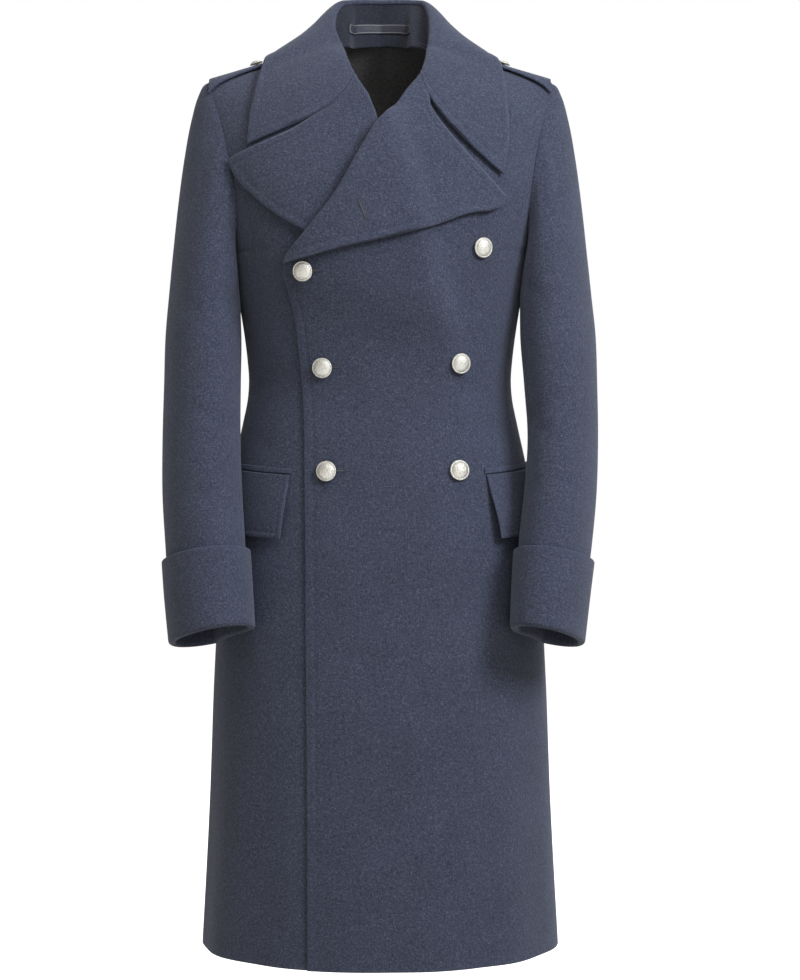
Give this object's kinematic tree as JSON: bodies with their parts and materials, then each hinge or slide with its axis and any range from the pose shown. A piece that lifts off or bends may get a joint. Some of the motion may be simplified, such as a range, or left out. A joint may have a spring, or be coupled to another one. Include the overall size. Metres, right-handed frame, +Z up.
{
  "type": "military greatcoat",
  "caption": "Knee-length double-breasted heavy wool greatcoat with a wide collar and lapels, shoulder straps, flap pockets and turned-back cuffs, filled out as if worn.",
  "frame": {"origin": "on the centre line, level with the tops of the shoulders beside the neck, where a wearer holds the coat up", "axes": "+Z up, -Y towards the front, +X towards the wearer's left"},
  "size_m": [0.5568, 0.3515, 1.2406],
  "materials": {
    "wool": "heathered blue-grey melton with a short nap",
    "lining": "smooth black twill lining",
    "label": "blank woven label",
    "button": "pale silver-white domed metal"
  },
  "bodies": {
    "root": {"front_left": "wool", "front_right": "wool", "back_left": "wool", "back_right": "wool", "sleeve_top_left": "wool", "sleeve_top_right": "wool", "sleeve_under_left": "wool", "sleeve_under_right": "wool", "cuff_left": "wool", "cuff_right": "wool", "lapel_left": "wool", "lapel_right": "wool", "strap_left": "wool", "strap_right": "wool", "flap_left": "wool", "flap_right": "wool", "welt_left": "wool", "welt_right": "wool", "collar": "wool", "collar_stand": "wool", "lining_left": "lining", "lining_right": "lining", "label": "label", "button_top_left": "button", "button_top_right": "button", "button_waist_left": "button", "button_waist_right": "button", "button_low_left": "button", "button_low_right": "button", "button_shoulder_left": "button", "button_shoulder_right": "button"}
  },
  "joints": []
}
